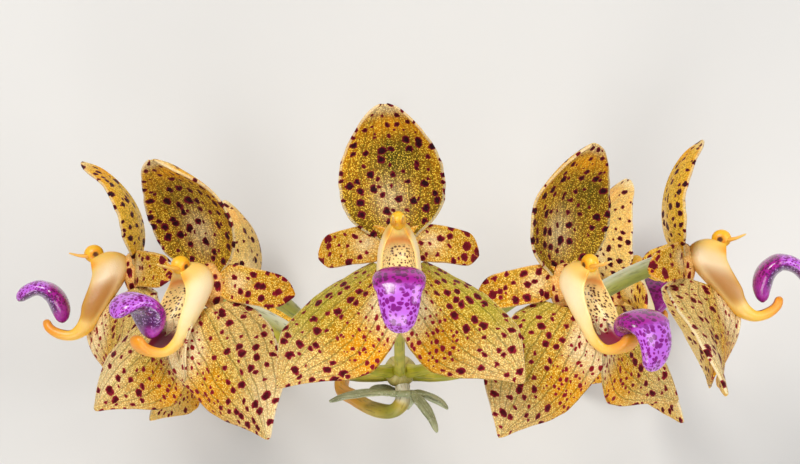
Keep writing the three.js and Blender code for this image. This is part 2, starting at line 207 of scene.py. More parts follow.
def spline(values, place):
    """A list of values read smoothly at a place that counts in list positions."""
    values = np.asarray(values, float)
    last = len(values) - 1
    place = np.clip(place, 0, last)
    k = np.minimum(place.astype(int), last - 1)
    w = place - k
    around = [values[np.clip(k + offset, 0, last)] for offset in (-1, 0, 1, 2)]
    return between(*around, w[:, None] if values.ndim > 1 else w)


def smooth(values, t):
    """A list of values at equal steps, read smoothly at t from 0 to 1."""
    return spline(values, np.asarray(t, float) * (len(values) - 1))


def through(points, t):
    """A curve through points, straight on past its ends."""
    points = np.asarray(points, float)
    longer = [2 * points[0] - points[1], *points, 2 * points[-1] - points[-2]]
    return spline(longer, np.asarray(t, float) * (len(points) - 1) + 1)


def bezier(points, t):
    a, b, c, d = np.asarray(points, float)
    t = np.asarray(t, float)[:, None]
    return a * (1 - t) ** 3 + 3 * b * t * (1 - t) ** 2 + 3 * c * t * t * (1 - t) + d * t**3


def bezier_slope(points, t):
    a, b, c, d = np.asarray(points, float)
    t = np.asarray(t, float)[:, None]
    return 3 * ((b - a) * (1 - t) ** 2 + 2 * (c - b) * t * (1 - t) + (d - c) * t * t)


def unit(vectors):
    return vectors / np.linalg.norm(vectors, axis=1, keepdims=True)


def bump(value, at, width):
    return np.exp(-(((value - at) / width) ** 2))


def rounded(t, start, end):
    """The width of a body whose first and last shares of its length are rounded off."""
    first = np.clip((start - t) / max(start, 1e-6), 0, END_CLOSED)
    last = np.clip((t - 1 + end) / end, 0, END_CLOSED)
    return np.sqrt(1 - np.maximum(first, last) ** 2)


def step(value, low, high):
    """0 below low, 1 above high and smooth between."""
    x = np.clip((value - low) / (high - low), 0, 1)
    return x * x * (3 - 2 * x)


# ---------------------------------------------------------------- meshes
WELD = 1e-4


def alone(piece):
    """Selects one piece and nothing else."""
    bpy.ops.object.select_all(action="DESELECT")
    piece.select_set(True)
    bpy.context.view_layer.objects.active = piece


def edit(piece, *operators):
    alone(piece)
    bpy.ops.object.mode_set(mode="EDIT")
    bpy.ops.mesh.select_all(action="SELECT")
    for operator in operators:
        operator()
    bpy.ops.object.mode_set(mode="OBJECT")


def apply(piece, kind, **settings):
    alone(piece)
    modifier = piece.modifiers.new(kind.lower(), kind)
    for name, value in settings.items():
        setattr(modifier, name, value)
    bpy.ops.object.modifier_apply(modifier=modifier.name)


def primitive(operator, name, **settings):
    """A new piece that starts as one of Blender's own solids or sheets."""
    bpy.ops.object.select_all(action="DESELECT")
    operator(**settings)
    piece = bpy.context.object
    piece.name = name
    return piece


def points_of(piece):
    return np.array([vertex.co for vertex in piece.data.vertices])


def paint_masks(piece, masks):
    """Stores named masks, one value for each vertex, for the materials to read."""
    for name, values in masks.items():
        layer = piece.data.attributes.new(name, "FLOAT", "POINT")
        layer.data.foreach_set("value", np.broadcast_to(values, len(piece.data.vertices)).astype(float))


def grid(name, across, along, point_at, surface_at, masks_at):
    """A grid primitive laid on point_at(t, v), t from 0 to 1 along it and v from -1 to 1 across it."""
    add_grid = bpy.ops.mesh.primitive_grid_add
    piece = primitive(add_grid, name, x_subdivisions=across, y_subdivisions=along, size=2)
    mesh = piece.data
    flat = points_of(piece)
    v, t = np.clip(flat[:, 0], -1, 1), np.clip((flat[:, 1] + 1) / 2, 0, 1)
    mesh.vertices.foreach_set("co", point_at(t, v).ravel())
    mesh.uv_layers.active.name = "Shape"
    corners = np.empty(len(mesh.loops), int)
    mesh.loops.foreach_get("vertex_index", corners)
    surface = mesh.uv_layers.new(name="Surface")
    surface.data.foreach_set("uv", surface_at(t, v)[corners].ravel())
    paint_masks(piece, masks_at(t, v))
    mesh.update()
    return piece


def ball(name, radius, segments, material, masks_at):
    """A sphere primitive whose masks depend on where its points are."""
    add_sphere = bpy.ops.mesh.primitive_uv_sphere_add
    piece = primitive(add_sphere, name, segments=segments, ring_count=segments * 2 // 3, radius=radius)
    piece.data.uv_layers.active.name = "Shape"
    surface = piece.data.uv_layers.new(name="Surface").data
    shares = np.empty(len(surface) * 2)
    surface.foreach_get("uv", shares)
    surface.foreach_set("uv", shares * np.tile((2 * pi * radius, pi * radius), len(surface)))
    paint_masks(piece, masks_at(points_of(piece)))
    piece.data.materials.append(material)
    return piece


def closed(piece):
    """Sews a grid that is wrapped into a tube, closes its ends and turns its faces outwards."""
    edit(
        piece,
        lambda: bpy.ops.mesh.remove_doubles(threshold=WELD),
        lambda: bpy.ops.mesh.fill_holes(sides=0),
        lambda: bpy.ops.mesh.normals_make_consistent(inside=False),
    )
    return piece


def turn(degrees, axis):
    return Matrix.Rotation(radians(degrees), 4, axis)


def moved(piece, matrix):
    piece.data.transform(matrix)
    if matrix.determinant() < 0:
        piece.data.flip_normals()
    piece.data.update()
    return piece


def copied(piece, name):
    twin = piece.copy()
    twin.data = piece.data.copy()
    twin.name = name
    bpy.context.scene.collection.objects.link(twin)
    return twin


def joined(name, pieces):
    bpy.ops.object.select_all(action="DESELECT")
    for piece in pieces:
        piece.select_set(True)
    bpy.context.view_layer.objects.active = pieces[0]
    bpy.ops.object.join()
    pieces[0].name = name
    pieces[0].data.name = name
    return pieces[0]


def finish(piece, nodes, place=Matrix.Identity(4)):
    """Puts a piece made in millimetres in its place, above the ground, and hands it to the frame."""
    moved(piece, Matrix.Scale(MM, 4) @ Matrix.Translation(-ORIGIN) @ place)
    for vertex in piece.data.vertices:
        vertex.co.z = max(vertex.co.z, 0)
    alone(piece)
    bpy.ops.object.shade_smooth()
    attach(piece, "root")
    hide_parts(*nodes)


def blade_points(spec, t, v, lift):
    """Where a blade's middle sheet runs: t along its spine, v across, lift off the face."""
    along = unit(bezier_slope(spec["spine"], t))
    across = smooth(spec["across"], t)
    across = unit(across - along * np.sum(across * along, axis=1, keepdims=True))
    face = np.cross(across, along)
    left, right = smooth(spec["left"], t), smooth(spec["right"], t)
    # Two waves that seldom meet make the edges a little uneven.
    ragged = 1 + 0.008 * np.sin(41 * t + 5 * v) + 0.006 * np.sin(67 * t - 3 * v)
    reach = v * np.where(v < 0, left, right) * rounded(t, 0, spec["tip"]) * ragged
    bend = np.radians(smooth(spec["curl"], t))
    bend = np.where(np.abs(bend) < 0.01, 0.01, bend)
    radius = (left + right) / 2 / bend
    turned = reach / radius
    for at, depth, width in spec["grooves"]:
        lift = lift - depth * bump(v, at, width) * step(t, 0.02, 0.2) * step(1 - t, 0.0, 0.15)
    sideways = across * (radius * np.sin(turned))[:, None]
    return bezier(spec["spine"], t) + sideways + face * (radius * (1 - np.cos(turned)) + lift)[:, None]


def blade(name, spec, material, masks_at, ripple, seed):
    """A fleshy blade, thinner at its edges, with ripples, grooves and rounded margins."""
    length = np.linalg.norm(np.diff(bezier(spec["spine"], np.linspace(0, 1, 50)), axis=0), axis=1).sum()

    def point_at(t, v):
        # Ripples that grow towards the edges lie on a slower wave over the whole blade.
        edge = np.abs(v) ** 3
        lift = ripple * edge * np.sin(17 * t + 3 * v + seed) + ripple * 0.7 * np.sin(9 * t - 4 * v + 2 * seed)
        return blade_points(spec, t, v, lift)

    def surface_at(t, v):
        # Each seed moves the blade to another place in the pattern of spots.
        half = (smooth(spec["left"], t) + smooth(spec["right"], t)) / 2
        return np.stack([v * half + 17.3 * seed, t * length + 9.1 * seed], axis=1)

    piece = grid(name, spec["across_steps"], spec["along_steps"], point_at, surface_at, masks_at)
    fleshy = piece.vertex_groups.new(name="fleshy")
    for vertex in piece.data.vertices:
        row, column = divmod(vertex.index, spec["across_steps"] + 1)
        v = 2 * column / spec["across_steps"] - 1
        t = row / spec["along_steps"]
        fleshy.add([vertex.index], (1 - abs(v) ** 4) * (1 - t**8), "REPLACE")
    piece.data.materials.append(material)
    apply(
        piece, "SOLIDIFY", thickness=BLADE_THICKNESS, offset=0, use_even_offset=True,
        vertex_group="fleshy", thickness_vertex_group=EDGE_THICKNESS,
    )
    sheet = (spec["across_steps"] + 1) * (spec["along_steps"] + 1)
    paint_masks(piece, {"back": np.arange(len(piece.data.vertices)) >= sheet})
    apply(piece, "SUBSURF", levels=1, render_levels=1)
    return piece


def rings(centres, section):
    """Points of a tube: section(t, angle) gives how far out it goes along its two normals."""
    centres = np.asarray(centres, float)
    along = unit(np.gradient(centres, axis=0))
    normal = np.array((0.0, -1.0, 0.0) if abs(along[0][1]) < 0.9 else (1.0, 0.0, 0.0))
    normals = []
    for direction in along:
        normal = normal - direction * np.dot(normal, direction)
        normal = normal / np.linalg.norm(normal)
        normals.append(normal)
    normals = np.array(normals)
    others = np.cross(along, normals)

    def point_at(t, v):
        row = np.rint(t * (len(centres) - 1)).astype(int)
        first, second = section(t, (v + 1) * pi)
        return centres[row] + normals[row] * first[:, None] + others[row] * second[:, None]

    return point_at


def tube(name, centres, sides, radius_at, material, masks_at, ribs=0.0):
    """A closed tube of changing radius along a line, with its surface measured in millimetres."""
    length = np.linalg.norm(np.diff(np.asarray(centres), axis=0), axis=1).sum()

    def section(t, angle):
        radius = radius_at(t) * (1 + ribs * np.cos(6 * angle))
        return radius * np.cos(angle), radius * np.sin(angle)

    def surface_at(t, v):
        return np.stack([v * pi * radius_at(np.full_like(t, 0.5)), t * length], axis=1)

    piece = grid(name, sides, len(centres) - 1, rings(centres, section), surface_at, masks_at)
    piece.data.materials.append(material)
    return closed(piece)


# ---------------------------------------------------------------- material building
def paint(code):
    """A colour given as it looks on screen, as linear red, green, blue and alpha."""
    parts = [int(code[k : k + 2], 16) / 255 for k in (0, 2, 4)]
    return (*[p / 12.92 if p <= 0.04045 else ((p + 0.055) / 1.055) ** 2.4 for p in parts], 1)


class Graph:
    """Adds nodes to a material or a group, each fed by sockets or by plain values."""

    def __init__(self, tree):
        self.tree = tree

    def feed(self, socket, value):
        if isinstance(value, bpy.types.NodeSocket):
            self.tree.links.new(value, socket)
        else:
            socket.default_value = value

    def node(self, kind, inputs, **settings):
        made = self.tree.nodes.new("ShaderNode" + kind)
        for name, value in settings.items():
            setattr(made, name, value)
        for name, value in inputs.items():
            self.feed(made.inputs[name], value)
        return made

    def maths(self, operation, first, second=0.0):
        return self.node("Math", {0: first, 1: second}, operation=operation).outputs[0]

    def times(self, first, second):
        return self.maths("MULTIPLY", first, second)

    def mix(self, share, first, second):
        # A Mix node's colours are its inputs 6 and 7 and its output 2.
        return self.node("Mix", {0: share, 6: first, 7: second}, data_type="RGBA").outputs[2]

    def mask(self, name):
        """A named mask that is painted on the pieces."""
        return self.node("Attribute", {}, attribute_name=name).outputs["Fac"]

    def tinted(self, colour, **tints):
        """A colour with tints over it, each where the mask of its name is."""
        for name, tint in tints.items():
            colour = self.mix(self.mask(name), colour, paint(tint))
        return colour

    def uv(self, name):
        return self.node("UVMap", {}, uv_map=name).outputs[0]

    def fade(self, value, low, high, start=0.0, end=1.0):
        """Goes smoothly from start, where the value is low, to end, where it is high."""
        inputs = {"Value": value, "From Min": low, "From Max": high, "To Min": start, "To Max": end}
        return self.node("MapRange", inputs, interpolation_type="SMOOTHSTEP").outputs[0]

    def scaled(self, vector, factor):
        size = factor if isinstance(factor, tuple) else (factor,) * 3
        return self.node("VectorMath", {0: vector, 1: size}, operation="MULTIPLY").outputs[0]

    def noise(self, vector, scale, detail=2.0):
        return self.node("TexNoise", {"Vector": vector, "Scale": scale, "Detail": detail})

    def group(self, group, **inputs):
        """The outputs of a group whose inputs are fed by name."""
        made = self.tree.nodes.new("ShaderNodeGroup")
        made.node_tree = group
        for name, value in inputs.items():
            self.feed(made.inputs[name], value)
        return made.outputs


def new_group(name, inputs, outputs):
    """A shader node group: its graph, its input sockets and a function that wires its outputs."""
    tree = bpy.data.node_groups.new(name, "ShaderNodeTree")
    for label, kind in inputs.items():
        tree.interface.new_socket(label, in_out="INPUT", socket_type="NodeSocket" + kind)
    for label, kind in outputs.items():
        tree.interface.new_socket(label, in_out="OUTPUT", socket_type="NodeSocket" + kind)
    entry = tree.nodes.new("NodeGroupInput")
    leave = tree.nodes.new("NodeGroupOutput")

    def wire(**sockets):
        for label, socket in sockets.items():
            tree.links.new(socket, leave.inputs[label])

    return Graph(tree), entry.outputs, wire


def spots_group():
    """Uneven round blots scattered on a surface that is measured in millimetres."""
    graph, given, wire = new_group(
        "spots",
        {"Surface": "Vector", "Spacing": "Float", "Radius": "Float", "Share": "Float", "Wander": "Float"},
        {"Mask": "Float", "Core": "Float"},
    )

    def drifted(place, scale, amount):
        drift = graph.noise(place, scale).outputs["Color"]
        centred = graph.node("VectorMath", {0: drift, 1: (0.5, 0.5, 0.5)}, operation="SUBTRACT").outputs[0]
        push = graph.node("VectorMath", {0: centred, 3: amount}, operation="SCALE").outputs[0]
        return graph.node("VectorMath", {0: place, 1: push}, operation="ADD").outputs[0]

    # A slow drift spreads the blots unevenly, and a quick one gives each an uneven outline.
    place = drifted(given["Surface"], 0.6, given["Wander"])
    place = drifted(place, 3.5, graph.times(given["Radius"], 1.3))
    often = graph.maths("DIVIDE", 1.0, given["Spacing"])
    cells = graph.node(
        "TexVoronoi", {"Vector": place, "Scale": often, "Randomness": 0.82}, voronoi_dimensions="2D",
    ).outputs
    draw = graph.node("SeparateColor", {0: cells["Color"]}).outputs
    radius = graph.times(given["Radius"], graph.fade(draw[0], 0.0, 1.0, 0.6, 1.3))
    present = graph.maths("LESS_THAN", draw[1], given["Share"])
    away = graph.times(cells["Distance"], given["Spacing"])
    depth = graph.times(graph.maths("SUBTRACT", radius, away), present)
    wire(Mask=graph.fade(depth, 0.0, 0.06), Core=graph.fade(depth, 0.03, 0.2))
    return graph.tree


def grain_group():
    """Fine glistening cells: a value for each cell, and their rounded height."""
    graph, given, wire = new_group(
        "grain", {"Cell": "Float"}, {"Value": "Float", "Height": "Float", "Soft": "Float"},
    )
    place = graph.scaled(graph.node("TexCoord", {}).outputs["Object"], 1 / MM)
    often = graph.maths("DIVIDE", 1.0, given["Cell"])
    cells = graph.node("TexVoronoi", {"Vector": place, "Scale": often}).outputs
    draw = graph.node("SeparateColor", {0: cells["Color"]}).outputs
    soft = graph.fade(graph.noise(place, 0.8, 3.0).outputs[0], 0.3, 0.7)
    wire(Value=draw[0], Height=graph.fade(cells["Distance"], 0.0, 0.7, 1.0, 0.0), Soft=soft)
    return graph.tree


def veins_group():
    """Fine lines that run along a blade."""
    graph, given, wire = new_group("veins", {"Shape": "Vector", "Count": "Float"}, {"Mask": "Float"})
    drift = graph.noise(graph.scaled(given["Shape"], (3.0, 5.0, 1.0)), 1.0).outputs[0]
    across = graph.node("SeparateXYZ", {0: given["Shape"]}).outputs[0]
    bent = graph.maths("ADD", across, graph.times(drift, 0.08))
    wave = graph.maths("SINE", graph.times(bent, graph.times(given["Count"], 2 * pi)))
    wire(Mask=graph.fade(wave, 0.8, 1.0))
    return graph.tree


SPOTS = spots_group()
GRAIN = grain_group()
VEINS = veins_group()


def new_material(name, roughness, **shader_values):
    """A material, its graph and its shader, with everything that is the same all over set on the shader."""
    material = bpy.data.materials.new(name)
    material.use_nodes = True
    tree = material.node_tree
    shader = tree.nodes["Principled BSDF"]
    shader.inputs["Roughness"].default_value = roughness
    for label, value in shader_values.items():
        shader.inputs[label.replace("_", " ")].default_value = value
    return material, Graph(tree), shader


def wire_shader(graph, shader, colour, height, depth, strength, roughness=None):
    """Feeds a shader a colour, a relief that is depth millimetres deep and, where it varies, a roughness."""
    relief = graph.node("Bump", {"Height": height, "Strength": strength, "Distance": depth * MM})
    graph.feed(shader.inputs["Base Color"], colour)
    graph.feed(shader.inputs["Normal"], relief.outputs[0])
    if roughness is not None:
        graph.feed(shader.inputs["Roughness"], roughness)


# ---------------------------------------------------------------- materials
OLIVE, ORANGE, CREAM_AND_SHEEN = paint("4f470c"), paint("f09a0c"), paint("fdeabc")
MARGIN, SUNNY = paint("f0e0b8"), paint("f6bc38")


def tepal_material(name, ground, bead_glint, shade, main, second, spots, edge, lines):
    """A darker ground under bead cells with a painted highlight, spotted; main and second are each a set's
    spacing and radius.

    The masks are olive, partly painted shade, orange, cream, which on the upper sepal also holds a painted
    sheen, rim, where the margin is pale, second, where the second set of spots is, and back, for the paler
    underside. shade is the olive's colour. beads is the colour of the painted highlight on the bead cells.
    spots are the colours of the first and second set and of the spots' rims. edge and lines are the strengths
    of the pale margin and of the veins.
    """
    painted_glint_colour = paint(bead_glint)
    large_spots, small_spots, spot_rims = [paint(code) for code in spots]
    material, graph, shader = new_material(
        name, 0.5, Specular_IOR_Level=0.1, Subsurface_Weight=0.08, Subsurface_Scale=0.3 * MM,
    )
    surface = graph.uv("Surface")
    shape = graph.uv("Shape")
    grain = graph.group(GRAIN, Cell=0.108)
    fine = graph.group(GRAIN, Cell=0.08)
    veins = graph.group(VEINS, Shape=shape, Count=9.0)
    where = graph.mask("second")
    sets = []
    for share, (spacing, radius) in ((graph.maths("SUBTRACT", 1.0, where), main), (where, second)):
        size = graph.times(share, radius)
        sets.append(graph.group(SPOTS, Surface=surface, Spacing=spacing, Radius=size, Share=0.92, Wander=0.5))

    # A painted highlight lies on each bead where it stands up. Some cells are dim; tints lie strongest
    # between them.
    raised = graph.fade(grain["Height"], 0.1, 0.6)
    painted_glint = graph.times(graph.fade(grain["Value"], -0.3, 0.6), raised)
    dim = graph.fade(grain["Value"], 0.5, 0.0)
    matt = graph.fade(painted_glint, 1.45, 0.0)
    front = graph.maths("SUBTRACT", 1.0, graph.times(graph.mask("back"), 0.8))

    def washed(under, weight, amount, over):
        return graph.mix(graph.times(weight, amount), under, over)

    colour = washed(paint(ground), graph.mask("back"), 0.7, SUNNY)
    # Painted highlight: raised, bright cells are lightened towards the bead colour.
    colour = washed(colour, painted_glint, 0.9, painted_glint_colour)
    colour = washed(colour, dim, 0.5, OLIVE)
    colour = washed(colour, graph.mask("orange"), matt, ORANGE)
    # Cream is the blade's own colour and, low on the upper sepal, a painted sheen; it is strongest on the
    # highlighted cells.
    colour = washed(colour, graph.mask("cream"), graph.fade(painted_glint, -0.8, 0.6), CREAM_AND_SHEEN)
    colour = washed(colour, graph.times(graph.mask("olive"), front), matt, paint(shade))
    colour = washed(colour, veins["Mask"], graph.times(front, lines), OLIVE)

    across = graph.node("SeparateXYZ", {0: shape}).outputs[0]
    from_middle = graph.maths("ABSOLUTE", graph.maths("SUBTRACT", across, 0.5))
    margin = graph.times(graph.fade(from_middle, 0.468, 0.494), graph.mask("rim"))
    colour = washed(colour, margin, edge, MARGIN)

    spot = graph.maths("MAXIMUM", sets[0]["Mask"], sets[1]["Mask"])
    core = graph.maths("MAXIMUM", sets[0]["Core"], sets[1]["Core"])
    colour = graph.mix(spot, colour, graph.mix(core, spot_rims, graph.mix(where, large_spots, small_spots)))
    height = graph.maths("ADD", fine["Height"], graph.times(grain["Height"], 0.8))
    rough = graph.fade(grain["Value"], 0.3, 1.0, 0.6, 0.3)
    wire_shader(graph, shader, colour, height, depth=0.035, strength=0.7, roughness=rough)
    return material


def column_material():
    """Waxy cream. The masks are pale, a painted pinkish-white highlight, brown, yellow, orange, dotted,
    crimson and eye.
    """
    material, graph, shader = new_material("column", 0.38, Subsurface_Weight=0.2, Subsurface_Scale=0.6 * MM)
    surface = graph.uv("Surface")
    grain = graph.group(GRAIN, Cell=0.12)
    dots = graph.group(SPOTS, Surface=surface, Spacing=0.25, Radius=0.1, Share=1.0, Wander=0.05)
    colour = graph.mix(graph.times(grain["Soft"], 0.3), paint("f9e3a2"), paint("f2cb78"))
    # The pale tint is a painted highlight.
    colour = graph.tinted(colour, pale="fce7c4")
    colour = graph.mix(graph.fade(graph.mask("brown"), 0.1, 0.7), colour, paint("b47c3c"))
    colour = graph.mix(graph.fade(graph.mask("brown"), 0.75, 1.0), colour, paint("8a4a1c"))
    colour = graph.tinted(colour, yellow="f8c02a", orange="ec8a10")
    colour = graph.mix(graph.times(dots["Mask"], graph.mask("dotted")), colour, paint("561410"))
    colour = graph.tinted(colour, crimson="8a0a34", eye="5c260e")
    wire_shader(graph, shader, colour, grain["Height"], depth=0.02, strength=0.35)
    return material


def lip_material():
    """Glossy magenta. The masks are pale, where the tongue is, dark, and band, where spots crowd."""
    material, graph, shader = new_material(
        "lip", 0.24, Coat_Weight=0.4, Coat_Roughness=0.12, Subsurface_Weight=0.15, Subsurface_Scale=0.4 * MM,
    )
    surface = graph.uv("Surface")
    pale, band = graph.mask("pale"), graph.mask("band")
    grain = graph.group(GRAIN, Cell=0.1)
    large = graph.group(SPOTS, Surface=surface, Spacing=0.36, Radius=0.175, Share=1.0, Wander=0.12)
    small = graph.group(SPOTS, Surface=surface, Spacing=0.3, Radius=0.14, Share=1.0, Wander=0.1)
    colour = graph.mix(pale, paint("a20b8e"), paint("c466da"))
    colour = graph.mix(graph.times(large["Mask"], pale), colour, paint("82067e"))
    colour = graph.mix(graph.times(small["Mask"], band), colour, paint("660656"))
    dark = graph.mask("dark")
    colour = graph.mix(dark, colour, paint("4a0650"))
    speckle = graph.times(graph.fade(grain["Value"], 0.7, 1.0), dark)
    colour = graph.mix(speckle, colour, paint("c08ad0"))
    wire_shader(graph, shader, colour, grain["Height"], depth=0.01, strength=0.2)
    return material


def stem_material(name, base, shade, streak, roughness):
    """Smooth stems with lengthwise streaks. The masks are pale, which along an ovary is a painted highlight,
    orange and green.
    """
    material, graph, shader = new_material(name, roughness, Subsurface_Weight=0.1, Subsurface_Scale=0.5 * MM)
    surface = graph.uv("Surface")
    grain = graph.group(GRAIN, Cell=0.1)
    run = graph.noise(graph.scaled(surface, (4.0, 0.35, 1.0)), 1.6, 4.0).outputs[0]
    lines = graph.fade(run, 0.52, 0.68)
    colour = graph.mix(grain["Soft"], paint(base), paint(shade))
    colour = graph.tinted(colour, green="6c7d1c", orange="d98a1c", pale="e2e0cc")
    colour = graph.mix(graph.times(lines, 0.55), colour, paint(streak))
    height = graph.maths("SUBTRACT", graph.times(grain["Height"], 0.3), lines)
    wire_shader(graph, shader, colour, height, depth=0.03, strength=0.5)
    return material


def bract_material():
    """Papery and pale, with green veins."""
    material, graph, shader = new_material("bract", 0.6, Subsurface_Weight=0.1, Subsurface_Scale=0.3 * MM)
    shape = graph.uv("Shape")
    grain = graph.group(GRAIN, Cell=0.1)
    veins = graph.group(VEINS, Shape=shape, Count=6.0)
    colour = graph.mix(grain["Soft"], paint("b4b78c"), paint("8d9268"))
    colour = graph.mix(graph.times(veins["Mask"], 0.5), colour, paint("4d5022"))
    colour = graph.mix(graph.fade(grain["Value"], 0.7, 1.4), colour, paint("e6e4cc"))
    wire_shader(graph, shader, colour, grain["Height"], depth=0.02, strength=0.5)
    return material


def floor_material():
    """A plain pale matte table."""
    material, graph, shader = new_material("floor", 0.85)
    place = graph.node("TexCoord", {}).outputs["Object"]
    cloud = graph.noise(place, 6.0, 3.0).outputs[0]
    colour = graph.mix(cloud, paint("cfcdc9"), paint("d5d3cf"))
    wire_shader(graph, shader, colour, cloud, depth=0.05, strength=0.1)
    return material


UPPER = tepal_material(
    "upper_sepal", ground="9a6404", bead_glint="ffd648", shade="454006", edge=0.4, lines=0.45,
    main=(0.94, 0.28), second=(0.78, 0.21), spots=("28030c", "35040c", "740a20"),
)
SIDE = tepal_material(
    "side_sepal", ground="c48a0c", bead_glint="fee474", shade="a89e30", edge=0.7, lines=0.5,
    main=(0.88, 0.26), second=(0.56, 0.17), spots=("48040e", "7a1010", "90122a"),
)
SMALL = tepal_material(
    "petal", ground="c98a0c", bead_glint="fedc70", shade="a89c30", edge=0.2, lines=0.2,
    main=(0.85, 0.25), second=(0.88, 0.34), spots=("48040e", "660814", "8c1026"),
)
COLUMN = column_material()
LIP = lip_material()
FLOWER_STALK = stem_material("flower_stalk", "9c9a20", "bdb032", "4a4c14", 0.45)
MAIN_STALK = stem_material("main_stalk", "b39b34", "c9b04e", "7a6a22", 0.45)
BRACT_PAPER = bract_material()


# ---------------------------------------------------------------- masks
# A mask is a share from 0 to 1. t runs from a blade's base to its tip and v from -1 to 1 across it.
def dorsal_masks(t, v, greened_and_shaded, paled, patch_and_shade_at):
    """A dark olive patch, partly painted shade, orange above, a pale painted sheen below and small spots at
    the tip.
    """
    edge = step(np.abs(v), 0.2, 0.9)
    # The dark patch is partly painted shade: moved to one side, it darkens the side away from the light.
    patch = 0.9 * bump(t, 0.6, 0.17) * bump(v, patch_and_shade_at, 0.55)
    low = step(0.5 - t, 0, 0.4) * (0.25 + 0.35 * edge)
    line = 0.5 * bump(v, 0, 0.05) * bump(t, 0.6, 0.25)
    margin = 0.3 * step(edge, 0.7, 1) * step(t, 0.4, 0.7)
    return {
        # The bloom's share of olive is partly painted shade, set bloom by bloom.
        "olive": (0.3 + 0.7 * greened_and_shaded) * np.clip(patch + low + line, 0, 1),
        "orange": 0.75 * bump(t, 0.84, 0.08) * bump(v, 0.15, 0.6) + margin,
        # The first term is a painted sheen, a pale reflection low in the middle of the sepal.
        "cream": 0.5 * bump(t, 0.3, 0.16) * bump(v, -0.05, 0.3) + 0.5 * bump(t, 0.98, 0.05) + paled,
        "second": step(t, 0.74, 0.82),
        "rim": 1,
    }


def petal_masks(t, v):
    """Orange at the base, the tip and the edges, cream between, with large blotches at the tip."""
    ends = 0.8 * step(0.14 - t, 0, 0.14) + 0.6 * step(t, 0.85, 0.97)
    return {
        "olive": 0.2 * bump(t, 0.5, 0.2) * step(-v, 0, 1),
        "orange": np.clip(ends + 0.35 * step(v * v, 0.6, 1), 0, 1),
        "cream": 0.6 * bump(t, 0.3, 0.15) * bump(v, 0, 0.6),
        "second": step(t, 0.66, 0.74),
        "rim": 1,
    }


def lateral_masks(t, v, greened_and_shaded):
    """Outer half olive, partly painted shade; inner half cream then orange, with the small spots."""
    inner = step(v, -0.05, 0.4)
    # The outer half's olive is partly painted shade where that half bends back, set bloom by bloom.
    outer = 0.8 * greened_and_shaded * step(-v, 0.15, 0.6) * step(1 - t, 0.1, 0.5)
    faded = 0.35 * (1 - greened_and_shaded) * step(-v, -0.2, 0.4)
    return {
        "olive": np.clip(outer + 0.5 * bump(v, -0.18, 0.04), 0, 1),
        "orange": np.clip(0.5 * bump(t, 0.47, 0.13) * inner + 0.2 * bump(v, 0.9, 0.2), 0, 1),
        "cream": np.clip(0.95 * step(0.42 - t, 0, 0.25) * inner + 0.3 * step(t, 0.5, 0.8) + faded, 0, 1),
        "second": inner * step(0.62 - t, 0, 0.1),
        "rim": step(-v, 0, 0.5),
    }


# ---------------------------------------------------------------- pieces of a bloom
def receptacle():
    piece = ball("cushion", 1, CUSHION_SIDES, SMALL, lambda places: {"orange": 0.6, "cream": 0.3})
    stretched = Matrix.Diagonal((*RECEPTACLE["half"], 1))
    return moved(piece, Matrix.Translation(RECEPTACLE["at"]) @ stretched)


MIRROR = Matrix.Scale(-1, 4, (1, 0, 0))


def tepals(name, bloom, number):
    """Three sepals and two petals on their cushion."""

    def upper_masks(t, v):
        return dorsal_masks(t, v, bloom["greened_and_shaded"], bloom["paled"], bloom["patch_and_shade_at"])

    def side_masks(t, v):
        return lateral_masks(t, v, bloom["greened_and_shaded"])

    back = blade("upper", DORSAL_SEPAL, UPPER, upper_masks, ripple=0.05, seed=number)
    bent = turn(bloom["lean"], "Z") @ turn(bloom["hood"], "X") @ turn(bloom["twist"], "Y")
    pieces = [moved(back, bent @ Matrix.Diagonal((1, bloom["dorsal"], 1, 1))), receptacle()]
    swung = turn(bloom["flare"], "Y") @ MIRROR
    here = Matrix.Identity(4)
    for seed, petal_side, sepal_side in ((number + 0.3, here, here), (number + 0.7, MIRROR, swung)):
        petal = blade("petal", PETAL, SMALL, petal_masks, ripple=0.03, seed=seed)
        sepal = blade("side", LATERAL_SEPAL, SIDE, side_masks, ripple=0.06, seed=seed)
        pieces += [moved(petal, petal_side), moved(sepal, sepal_side)]
    return joined(name, pieces)


def corners_off(v):
    """How many of the outline's corners v is past the middle of the trough."""
    return (v + 1) / 2 * COLUMN_CORNERS - COLUMN_CORNERS / 2


def column_points(t, v):
    """A round back and two sides up to the rims, with the trough between."""
    back_z, back_y, rim_z, rim_y, half, trough = smooth(COLUMN_SLICES, t).T
    to_rim = np.stack([rim_y - back_y, rim_z - back_z], axis=1)
    depth = np.linalg.norm(to_rim, axis=1)
    to_rim = to_rim / depth[:, None]
    nil = np.zeros_like(t)
    corners = [(0.75 * half, 0.12 * depth), (half, 0.55 * depth), (0.8 * half, depth)]
    corners += [(0.42 * half, depth * (1 - trough))]
    outline = [(nil, nil), *corners, *[(-side, out) for side, out in reversed(corners)]]
    sides = np.stack([side for side, _ in outline])
    outs = np.stack([out for _, out in outline])
    place = (v + 1) / 2 * COLUMN_CORNERS
    k = np.floor(place).astype(int)
    w = place - k
    each = np.arange(len(t))

    def read(values):
        around = [values[(k + offset) % COLUMN_CORNERS, each] for offset in (-1, 0, 1, 2)]
        return between(*around, w)

    round_end = rounded(t, 0.03, 0.05)
    side, out = read(sides) * round_end, depth / 2 + (read(outs) - depth / 2) * round_end
    return np.stack([side, back_y + to_rim[:, 0] * out, back_z + to_rim[:, 1] * out], axis=1)


def column_surface(t, v):
    """Distances in millimetres across the trough from its middle and along the column."""
    back_z, back_y, rim_z, rim_y, half, trough = smooth(COLUMN_SLICES, t).T
    wall = np.hypot(0.38 * half, trough * np.hypot(rim_z - back_z, rim_y - back_y))
    from_middle = corners_off(v)
    floor = 0.84 * half * np.clip(from_middle, -0.5, 0.5)
    up = wall * np.sign(from_middle) * np.clip(np.abs(from_middle) - 0.5, 0, None)
    return np.stack([floor + up, t * COLUMN_LENGTH], axis=1)


